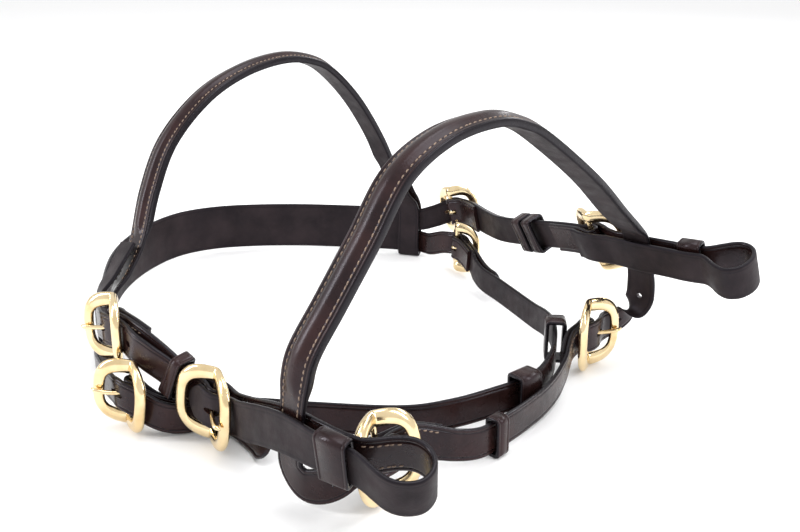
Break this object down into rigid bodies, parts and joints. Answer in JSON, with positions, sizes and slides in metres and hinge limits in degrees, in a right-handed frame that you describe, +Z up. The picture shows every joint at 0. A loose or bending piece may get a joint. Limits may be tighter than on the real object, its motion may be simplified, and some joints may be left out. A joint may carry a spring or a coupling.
{
  "type": "leather headcollar",
  "caption": "Leather headcollar with padded browband and noseband, buckled crown, throat and cheek straps, brass buckles and a keepered loop at each end of the bit straps.",
  "frame": {"origin": "middle of the footprint, on the surface that the headcollar stands on", "axes": "+X from poll to nose, +Y to the horse's left, +Z up"},
  "size_m": [0.3968, 0.3218, 0.1586],
  "materials": {
    "havana_leather": "dark havana bridle leather, waxed satin",
    "polished_brass": "pale polished brass"
  },
  "bodies": {
    "leather": {"bit_keeper_left": "havana_leather", "bit_keeper_right": "havana_leather", "bit_strap_left": "havana_leather", "bit_strap_right": "havana_leather", "browband": "havana_leather", "cheek_keeper_left": "havana_leather", "cheek_keeper_right": "havana_leather", "cheekpiece_left": "havana_leather", "cheekpiece_right": "havana_leather", "connector_loop": "havana_leather", "headpiece": "havana_leather", "noseband_front": "havana_leather", "noseband_rear": "havana_leather", "throat_strap": "havana_leather"},
    "cheek_buckle_left_frame": {"cheek_buckle_left_frame": "polished_brass"},
    "cheek_buckle_right_frame": {"cheek_buckle_right_frame": "polished_brass"},
    "crown_buckle_left_frame": {"crown_buckle_left_frame": "polished_brass"},
    "crown_buckle_right_frame": {"crown_buckle_right_frame": "polished_brass"},
    "noseband_buckle_left_frame": {"noseband_buckle_left_frame": "polished_brass"},
    "noseband_buckle_right_frame": {"noseband_buckle_right_frame": "polished_brass"},
    "throat_buckle_left_frame": {"throat_buckle_left_frame": "polished_brass"},
    "throat_buckle_right_frame": {"throat_buckle_right_frame": "polished_brass"},
    "cheek_buckle_left_tongue": {"cheek_buckle_left_tongue": "polished_brass"},
    "cheek_buckle_right_tongue": {"cheek_buckle_right_tongue": "polished_brass"},
    "crown_buckle_left_tongue": {"crown_buckle_left_tongue": "polished_brass"},
    "crown_buckle_right_tongue": {"crown_buckle_right_tongue": "polished_brass"},
    "noseband_buckle_left_tongue": {"noseband_buckle_left_tongue": "polished_brass"},
    "noseband_buckle_right_tongue": {"noseband_buckle_right_tongue": "polished_brass"},
    "throat_buckle_left_tongue": {"throat_buckle_left_tongue": "polished_brass"},
    "throat_buckle_right_tongue": {"throat_buckle_right_tongue": "polished_brass"},
    "cheek_runner_left": {"cheek_runner_left": "havana_leather"},
    "throat_runner": {"throat_runner": "havana_leather"},
    "noseband_keeper": {"noseband_keeper": "havana_leather"}
  },
  "joints": [
    {"name": "cheek_buckle_left_frame_tilt", "type": "hinge", "parent": "leather", "child": "cheek_buckle_left_frame", "pos_m": [0.1017, 0.0947, 0.06321], "axis": [0.1788, 0.3815, -0.9069], "range_deg": [-1, 3]},
    {"name": "cheek_buckle_right_frame_tilt", "type": "hinge", "parent": "leather", "child": "cheek_buckle_right_frame", "pos_m": [0.0457, -0.1278, 0.02251], "axis": [0.1944, 0.0171, 0.9808], "range_deg": [-1, 1.5]},
    {"name": "crown_buckle_left_frame_tilt", "type": "hinge", "parent": "leather", "child": "crown_buckle_left_frame", "pos_m": [-0.0553, 0.1497, 0.03741], "axis": [-0.2442, -0.1235, 0.9618], "range_deg": [-1, 3]},
    {"name": "crown_buckle_right_frame_tilt", "type": "hinge", "parent": "leather", "child": "crown_buckle_right_frame", "pos_m": [-0.0243, -0.1368, 0.04291], "axis": [0.0685, -0.0523, -0.9963], "range_deg": [-0.4, 3]},
    {"name": "noseband_buckle_left_frame_tilt", "type": "hinge", "parent": "leather", "child": "noseband_buckle_left_frame", "pos_m": [0.1172, 0.0682, 0.02031], "axis": [0.0011, -0.0411, 0.9992], "range_deg": [-1, 3]},
    {"name": "noseband_buckle_right_frame_tilt", "type": "hinge", "parent": "leather", "child": "noseband_buckle_right_frame", "pos_m": [0.1297, -0.1038, 0.02031], "axis": [0.2147, -0.0106, -0.9766], "range_deg": [-1, 3]},
    {"name": "throat_buckle_left_frame_tilt", "type": "hinge", "parent": "leather", "child": "throat_buckle_left_frame", "pos_m": [-0.0353, 0.1312, 0.01931], "axis": [0.0312, -0.0101, 0.9995], "range_deg": [-1, 3]},
    {"name": "throat_buckle_right_frame_tilt", "type": "hinge", "parent": "leather", "child": "throat_buckle_right_frame", "pos_m": [0.0007, -0.1458, 0.01891], "axis": [-0.1906, -0.0456, -0.9806], "range_deg": [-1, 3]},
    {"name": "cheek_buckle_left_tongue_lift", "type": "hinge", "parent": "cheek_buckle_left_frame", "child": "cheek_buckle_left_tongue", "pos_m": [0.1017, 0.0947, 0.06321], "axis": [-0.1788, -0.3815, 0.9069], "range_deg": [0, 6]},
    {"name": "cheek_buckle_right_tongue_lift", "type": "hinge", "parent": "cheek_buckle_right_frame", "child": "cheek_buckle_right_tongue", "pos_m": [0.0457, -0.1278, 0.02251], "axis": [-0.1944, -0.0171, -0.9808], "range_deg": [0, 6]},
    {"name": "crown_buckle_left_tongue_lift", "type": "hinge", "parent": "crown_buckle_left_frame", "child": "crown_buckle_left_tongue", "pos_m": [-0.0553, 0.1497, 0.03741], "axis": [0.2442, 0.1235, -0.9618], "range_deg": [0, 6]},
    {"name": "crown_buckle_right_tongue_lift", "type": "hinge", "parent": "crown_buckle_right_frame", "child": "crown_buckle_right_tongue", "pos_m": [-0.0243, -0.1368, 0.04291], "axis": [-0.0685, 0.0523, 0.9963], "range_deg": [0, 6]},
    {"name": "noseband_buckle_left_tongue_lift", "type": "hinge", "parent": "noseband_buckle_left_frame", "child": "noseband_buckle_left_tongue", "pos_m": [0.1172, 0.0682, 0.02031], "axis": [-0.0011, 0.0411, -0.9992], "range_deg": [0, 6]},
    {"name": "noseband_buckle_right_tongue_lift", "type": "hinge", "parent": "noseband_buckle_right_frame", "child": "noseband_buckle_right_tongue", "pos_m": [0.1297, -0.1038, 0.02031], "axis": [-0.2147, 0.0106, 0.9766], "range_deg": [0, 6]},
    {"name": "throat_buckle_left_tongue_lift", "type": "hinge", "parent": "throat_buckle_left_frame", "child": "throat_buckle_left_tongue", "pos_m": [-0.0353, 0.1312, 0.01931], "axis": [-0.0312, 0.0101, -0.9995], "range_deg": [0, 6]},
    {"name": "throat_buckle_right_tongue_lift", "type": "hinge", "parent": "throat_buckle_right_frame", "child": "throat_buckle_right_tongue", "pos_m": [0.0007, -0.1458, 0.01891], "axis": [0.1906, 0.0456, 0.9806], "range_deg": [0, 6]},
    {"name": "cheek_runner_left_slide", "type": "slide", "parent": "leather", "child": "cheek_runner_left", "axis": [0.935, -0.2762, 0.2224], "range_m": [-0.002, 0.004]},
    {"name": "throat_runner_slide", "type": "slide", "parent": "leather", "child": "throat_runner", "axis": [-0.643, 0.7658, 0.0099], "range_m": [-0.0005, 0.003]},
    {"name": "noseband_keeper_slide", "type": "slide", "parent": "leather", "child": "noseband_keeper", "axis": [-0.0043, 1, 0.0077], "range_m": [-0.003, 0.003]}
  ]
}
